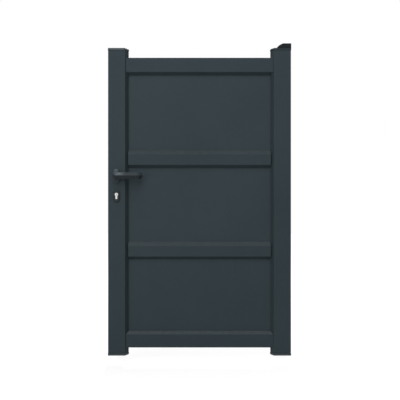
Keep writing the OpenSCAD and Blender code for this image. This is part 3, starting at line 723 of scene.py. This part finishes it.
class GATE_OT_paint_leaf(bpy.types.Operator):
    """Powder coats the stiles, rails and panels"""

    bl_idname = "gate.paint_leaf"
    bl_label = "Paint leaf"

    def execute(self, context):
        look = context.scene.gate_finish
        rough, grain = look.coat_roughness, look.grain
        coat = powder_coat("frame powder coat", look.frame_colour, rough, grain)
        sheet = powder_coat("panel powder coat", look.panel_colour, rough, grain, rolled=True)
        dress(coat, *STILES, *RAILS)
        dress(sheet, *PANELS)
        return {"FINISHED"}


class GATE_OT_mould_caps(bpy.types.Operator):
    """Finishes the end caps of the stiles and the end plugs of the middle rails"""

    bl_idname = "gate.mould_caps"
    bl_label = "Mould end caps"

    def execute(self, context):
        colour = context.scene.gate_finish.cap_colour
        dress(moulded_plastic("cap plastic", colour), *CAPS)
        # The hinge stile's top cap carries the painted shadow of the strap that stands over it.
        strap_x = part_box("upper_hinge_strap")[0].x
        dress(moulded_plastic("cap plastic under strap", colour, strap_shade_x=strap_x), "hinge_stile_top_cap")
        return {"FINISHED"}


class GATE_OT_finish_hinges(bpy.types.Operator):
    """Finishes the brackets, strap, eye, pins and bushes, and lays the weld beads of the brackets"""

    bl_idname = "gate.finish_hinges"
    bl_label = "Finish hinges"

    def execute(self, context):
        black = cast_black("hinge black", context.scene.gate_finish.hinge_colour)
        dress(black, "upper_hinge_bracket", "lower_hinge_bracket", "upper_hinge_strap", "lower_hinge_eye")
        steel = brushed_steel(
            "turned pin steel", colour=(0.62, 0.61, 0.59), per_metre=(260.0, 260.0, 4200.0), rough=0.26)
        dress(steel, "upper_hinge_pin", "lower_hinge_pin")
        dress(nylon("bush nylon"), "upper_hinge_bush", "lower_hinge_bush")
        self.lay_welds(context.scene.gate_trim, black)
        return {"FINISHED"}

    def lay_welds(self, trim, black):
        """Lays a bead over, behind and under each bracket's arm, where it meets the plate."""
        lift = 0.0003  # from the metal to the middle of the bead
        arm_back = 0.0117  # from the back edge of the plate to the back of the arm
        lines = []
        for level in ("upper", "lower"):
            low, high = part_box(level + "_hinge_bracket")
            x = high.x - trim.plate - lift
            z, half = (low.z + high.z) / 2, trim.arm_height / 2 + lift
            front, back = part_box(level + "_hinge_pin")[0].y, high.y - arm_back
            lines.append(([(x, front, z + half), (x, back, z + half),
                           (x, back, z - half), (x, front, z - half)], False))
        shop = weld_tree("bracket weld", black)
        mesh = grown_mesh("bracket_welds", shop, line_mesh("bracket_weld_path", lines), {
            "Radius": trim.weld_radius, "Pitch": trim.weld_pitch}, ROUND_ANGLE)
        piece("bracket_welds", mesh, None, "hinge_brackets")


class GATE_OT_finish_handle(bpy.types.Operator):
    """Finishes the levers, roses and spindle, and fits a collar round each lever neck"""

    bl_idname = "gate.finish_handle"
    bl_label = "Finish handle"

    def execute(self, context):
        look = context.scene.gate_finish
        low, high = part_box("spindle")
        middle = (low + high) / 2
        hub_highlight_spot = (middle.x + 0.016, middle.z + 0.009, 0.034)  # x, z and reach of the painted highlight on the lever's hub, which is also rubbed smoother
        lever = satin_coat(
            "lever satin coat", look.handle_colour, specular=0.1, rub_and_highlight_spot=hub_highlight_spot, highlight_strength=0.85, top_highlight=0.6)
        dress(lever, "front_lever", "back_lever")
        rose_highlight_spot = (middle.x - 0.003, middle.z + 0.032, 0.017)  # and of the rose's upper edge
        rose = satin_coat(
            "rose satin coat", tinted(look.handle_colour, 1.8), specular=0.14, rub_and_highlight_spot=rose_highlight_spot, highlight_strength=0.3)
        dress(rose, "front_handle_rose", "back_handle_rose")
        key_rose = satin_coat("key rose satin coat", look.key_rose_colour, specular=0.1)
        dress(key_rose, "front_key_rose", "back_key_rose")
        steel = brushed_steel(
            "spindle steel", colour=(0.5, 0.49, 0.47), per_metre=(3200.0, 90.0, 3200.0), rough=0.34)
        dress(steel, "spindle")
        for side, name in SIDES:
            low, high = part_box(name + "_handle_rose")
            face = low.y if side < 0 else high.y
            mesh = turned(name + "_lever_collar", LEVER_COLLAR, (middle.x, face, middle.z), (0, side, 0))
            piece(name + "_lever_collar", mesh, rose, "leaf")
        return {"FINISHED"}


class GATE_OT_finish_lock(bpy.types.Operator):
    """Finishes the lock and its bolts, and fits the key plugs with their key slots"""

    bl_idname = "gate.finish_lock"
    bl_label = "Finish lock"

    def execute(self, context):
        steel = brushed_steel(
            "lock steel", colour=(0.55, 0.54, 0.52), per_metre=(3600.0, 3600.0, 70.0), rough=0.32)
        dress(steel, "mortice_lock")
        bolts = brushed_steel(
            "bolt steel", colour=(0.6, 0.58, 0.54), per_metre=(120.0, 3000.0, 3000.0), rough=0.28)
        dress(bolts, "latch_bolt", "dead_bolt")
        nickel = polished_nickel("key nickel")
        # The key slot's floor is painted near black: painted shade of a deep keyway.
        keyway_shade = keyway_shade_finish("key slot hollow")
        dress(nickel, "key_cylinder")
        low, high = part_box("key_cylinder")
        centre_x = (low.x + high.x) / 2
        centre_z = high.z - (high.x - low.x) / 2
        for side, name in SIDES:
            face = low.y if side < 0 else high.y
            mesh = key_plug_mesh(name + "_key_plug", (centre_x, face, centre_z), side)
            mesh.materials.append(nickel)
            mesh.materials.append(keyway_shade)
            piece(name + "_key_plug", mesh, None, "leaf")
        return {"FINISHED"}


class GATE_OT_fit_seals(bpy.types.Operator):
    """Lays a seal round each panel, front and back, and a near-black cord in the joint under each end cap,
    which paints the joint's shadow line
    """

    bl_idname = "gate.fit_seals"
    bl_label = "Fit seals"

    def execute(self, context):
        trim = context.scene.gate_trim
        self.seal_panels(trim)
        self.cord_joints()
        return {"FINISHED"}

    def seal_panels(self, trim):
        """Lays the seals in the corners between the panels and the rails and stiles."""
        bite = 0.0002  # how far a seal reaches into the rail or stile
        stand = 0.42  # share of the height by which the middle of a seal stands off the panel
        inset = trim.seal_width / 2 - bite
        left, right = STILE_HI.x + inset, HINGE_LO.x - inset
        sheet_lo, sheet_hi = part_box("upper_panel")
        shop = seal_tree("panel seal", seal_rubber("panel seal rubber", shade=1.7))
        for side, name in SIDES:
            y = (sheet_lo.y if side < 0 else sheet_hi.y) + side * trim.seal_height * stand
            lines = []
            for above, below in zip(RAILS, RAILS[1:]):
                low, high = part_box(below)[1].z + inset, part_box(above)[0].z - inset
                lines.append(([(left, y, low), (right, y, low), (right, y, high), (left, y, high)], True))
            mesh = grown_mesh("panel_seals_" + name, shop, line_mesh("panel_seal_path", lines), {
                "Width": trim.seal_width, "Height": trim.seal_height}, ROUND_ANGLE)
            piece("panel_seals_" + name, mesh, None, "leaf")

    def cord_joints(self):
        """Lays a near-black cord in the joints under the end caps, which are all of one height; its darkness
        is painted shade in the joint.
        """
        filled = 0.96  # share of the joint that the cord takes up
        lines = []
        for stile in STILES:
            low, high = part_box(stile)
            for cap, end, outward in (("_top_cap", high.z, 1), ("_foot_cap", low.z, -1)):
                outline, joint = joint_outline(stile + cap, end, outward)
                lines.append(([(x, y, end + outward * joint / 2) for x, y in outline], True))
        # The cord is near black: painted shade of the joint under each cap.
        shop = seal_tree("cap cord", seal_rubber("cap cord rubber", shade=0.25))
        mesh = grown_mesh("cap_cords", shop, line_mesh("cap_cord_path", lines), {
            "Width": joint * filled, "Height": joint * filled}, ROUND_ANGLE)
        piece("cap_cords", mesh, None, "leaf")


class GATE_OT_drive_screws(bpy.types.Operator):
    """Drives the screws of the lower hinge, the upper strap and the lock faceplate"""

    bl_idname = "gate.drive_screws"
    bl_label = "Drive screws"

    def execute(self, context):
        trim = context.scene.gate_trim
        zinc = brushed_steel(
            "screw zinc", colour=(0.58, 0.58, 0.57), per_metre=(900.0, 900.0, 900.0), rough=0.3)
        dark = cast_black("screw black", tinted(context.scene.gate_finish.hinge_colour, 1.3))
        inputs = ("Radius", "Height", "Socket radius", "Socket depth")
        jobs = (("lower_hinge_screws", self.hinge_places(), zinc, "bright_steel",
                 (trim.flag_head, 0.0027, 0.0024, 0.0016)),
                ("upper_strap_screws", self.strap_places(), dark, "hinge_black",
                 (trim.strap_head, 0.0006, 0.0026, 0.0005)),
                ("lock_plate_screws", self.lock_places(), zinc, "lock_steel",
                 (trim.lock_head, 0.0007, 0.0017, 0.0006)))
        for name, places, material, slot, sizes in jobs:
            shop = screw_tree(name, material)
            mesh = grown_mesh(name, shop, spots(name + "_spots", places), dict(zip(inputs, sizes)))
            piece(name, mesh, None, "leaf")
        return {"FINISHED"}

    def hinge_places(self):
        """Four screws on the back of the lower hinge's plate: in three corners and above its eye."""
        thickness, edge_x, edge_z, above_eye = 0.005, 0.009, 0.0105, 0.036
        low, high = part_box("lower_hinge_eye")
        left, right, top = low.x + edge_x, high.x - edge_x, high.z - edge_z
        corners = ((left, low.z + edge_z), (left, top), (right, top), (right, high.z - above_eye))
        return [((x, BACK_Y + thickness, z), (0, 1, 0)) for x, z in corners]

    def strap_places(self):
        """Two screws on the flat top of the upper strap, in a row across the stile."""
        from_front, from_edge = 0.031, (0.010, 0.030)
        y, z = FRONT_Y + from_front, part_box("upper_hinge_strap")[1].z
        return [((HINGE_HI.x - inward, y, z), (0, 0, 1)) for inward in from_edge]

    def lock_places(self):
        """Screws at both ends of the faceplate and one below the dead bolt."""
        from_end, below_bolt = 0.0115, 0.0125
        low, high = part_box("mortice_lock")
        heights = (high.z - from_end, low.z + from_end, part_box("dead_bolt")[0].z - below_bolt)
        return [((low.x, MID_Y, z), (-1, 0, 0)) for z in heights]


class GATE_OT_fit_covers(bpy.types.Operator):
    """Presses covers over the rail screws on the outer edges of both stiles"""

    bl_idname = "gate.fit_covers"
    bl_label = "Fit screw covers"

    def execute(self, context):
        trim = context.scene.gate_trim
        plastic = moulded_plastic("cover plastic", context.scene.gate_finish.cap_colour, roughness=0.42)
        spread = 0.015  # of the two screws to each side of the middle
        places = []
        for rail in RAILS:
            low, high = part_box(rail)
            z = (low.z + high.z) / 2
            for y in (MID_Y - spread, MID_Y + spread):
                places.append(((STILE_LO.x, y, z), (-1, 0, 0)))
                places.append(((HINGE_HI.x, y, z), (1, 0, 0)))
        shop = cover_tree("rail screw covers", plastic)
        mesh = grown_mesh("rail_screw_covers", shop, spots("rail_screw_cover_spots", places), {
            "Radius": trim.cover_radius, "Height": trim.cover_height})
        piece("rail_screw_covers", mesh, None, "leaf")
        return {"FINISHED"}


class GATE_OT_set_stage(bpy.types.Operator):
    """Sets the camera, the lights, the room and a plain pale floor"""

    bl_idname = "gate.set_stage"
    bl_label = "Set stage"

    def execute(self, context):
        stage = context.scene.gate_stage
        scene = context.scene
        scene.view_settings.view_transform = "Standard"
        aim = Vector(((LEAF_LO.x + LEAF_HI.x) / 2, FRONT_Y, (LEAF_LO.z + LEAF_HI.z) / 2))

        camera = bpy.data.cameras.new("gate camera")
        camera.sensor_width = SENSOR
        camera.lens = SENSOR * stage.distance / stage.picture_width
        holder = bpy.data.objects.new("gate camera", camera)
        holder.location = (aim.x + CAMERA_RIGHT, FRONT_Y - stage.distance, aim.z + CAMERA_UP)
        holder.rotation_euler = (math.pi / 2, 0, 0)
        scene.collection.objects.link(holder)
        scene.camera = holder

        for name, (power, (x, y, z), size) in LAMPS.items():
            self.lamp(scene, name, Vector((aim.x + x, y, z)), aim, getattr(stage, power), size)
        self.room(scene, stage.room)
        self.floor(scene, LEAF_LO.z - stage.clearance)
        return {"FINISHED"}

    def lamp(self, scene, name, place, aim, power, size):
        """Hangs a soft lamp that points at the leaf."""
        light = bpy.data.lights.new(name, "AREA")
        light.shape = "RECTANGLE"
        light.size, light.size_y = size
        light.energy = power
        holder = bpy.data.objects.new(name, light)
        holder.location = place
        holder.rotation_euler = (aim - place).to_track_quat("-Z", "Y").to_euler()
        scene.collection.objects.link(holder)

    def room(self, scene, strength):
        """Even light from all round, and white where the background is seen."""
        world = bpy.data.worlds.new("pale room")
        maker = NodeMaker(cleared_tree(world))
        level = maker.span(maker.seen_rays(), 0, 1, strength, 1)
        light = maker.add("ShaderNodeBackground", {"Color": (1, 1, 1), "Strength": level})
        maker.add("ShaderNodeOutputWorld", {"Surface": light.outputs[0]})
        scene.world = world

    def floor(self, scene, height):
        """Matt floor that fades to white away from the gate and keeps its shadow."""
        material = bpy.data.materials.new("pale floor")
        maker = NodeMaker(cleared_tree(material))
        matt = maker.add("ShaderNodeBsdfDiffuse", {"Color": FLOOR_GREY})
        place = maker.add("ShaderNodeTexCoord").outputs["Object"]
        away = maker.add("ShaderNodeVectorMath", {0: place}, operation="LENGTH").outputs["Value"]
        fade = maker.span(away, NEAR, FAR, NEAR_GLOW, FAR_GLOW)
        level = maker.maths("MULTIPLY", maker.seen_rays(), fade)
        glow = maker.add("ShaderNodeEmission", {"Strength": level})
        both = maker.add("ShaderNodeAddShader", {0: matt.outputs[0], 1: glow.outputs[0]})
        maker.add("ShaderNodeOutputMaterial", {"Surface": both.outputs[0]})
        bm = bmesh.new()
        bmesh.ops.create_circle(bm, cap_ends=True, radius=FLOOR_RADIUS, segments=96)
        bmesh.ops.translate(bm, vec=(LEAF_LO.x / 2, 0, height), verts=bm.verts)
        mesh = bpy.data.meshes.new("pale floor")
        bm.to_mesh(mesh)
        bm.free()
        mesh.materials.append(material)
        ground = bpy.data.objects.new("pale floor", mesh)
        scene.collection.objects.link(ground)


STEPS = (GATE_OT_paint_leaf, GATE_OT_mould_caps, GATE_OT_finish_hinges, GATE_OT_finish_handle,
         GATE_OT_finish_lock, GATE_OT_fit_seals, GATE_OT_drive_screws, GATE_OT_fit_covers, GATE_OT_set_stage)


class GATE_PT_sidebar(bpy.types.Panel):
    """Lists the gate's finishes and the steps that make them"""

    bl_idname = "GATE_PT_sidebar"
    bl_label = "Gate"
    bl_space_type = "VIEW_3D"
    bl_region_type = "UI"
    bl_category = "Gate"

    def draw(self, context):
        for group in ("gate_finish", "gate_trim", "gate_stage"):
            values = getattr(context.scene, group)
            box = self.layout.box()
            for name in values.__annotations__:
                box.prop(values, name)
        for step in STEPS:
            self.layout.operator(step.bl_idname)


GROUPS = {"gate_finish": GateFinish, "gate_trim": GateTrim, "gate_stage": GateStage}


def register():
    for name, group in GROUPS.items():
        bpy.utils.register_class(group)
        setattr(bpy.types.Scene, name, bpy.props.PointerProperty(type=group))
    for step in STEPS:
        bpy.utils.register_class(step)
    bpy.utils.register_class(GATE_PT_sidebar)


def unregister():
    bpy.utils.unregister_class(GATE_PT_sidebar)
    for step in reversed(STEPS):
        bpy.utils.unregister_class(step)
    for name, group in reversed(list(GROUPS.items())):
        delattr(bpy.types.Scene, name)
        bpy.utils.unregister_class(group)


def main():
    register()
    bpy.ops.gate.paint_leaf()
    bpy.ops.gate.mould_caps()
    bpy.ops.gate.finish_hinges()
    bpy.ops.gate.finish_handle()
    bpy.ops.gate.finish_lock()
    bpy.ops.gate.fit_seals()
    bpy.ops.gate.drive_screws()
    bpy.ops.gate.fit_covers()
    bpy.ops.gate.set_stage()


if __name__ == "__main__":
    main()
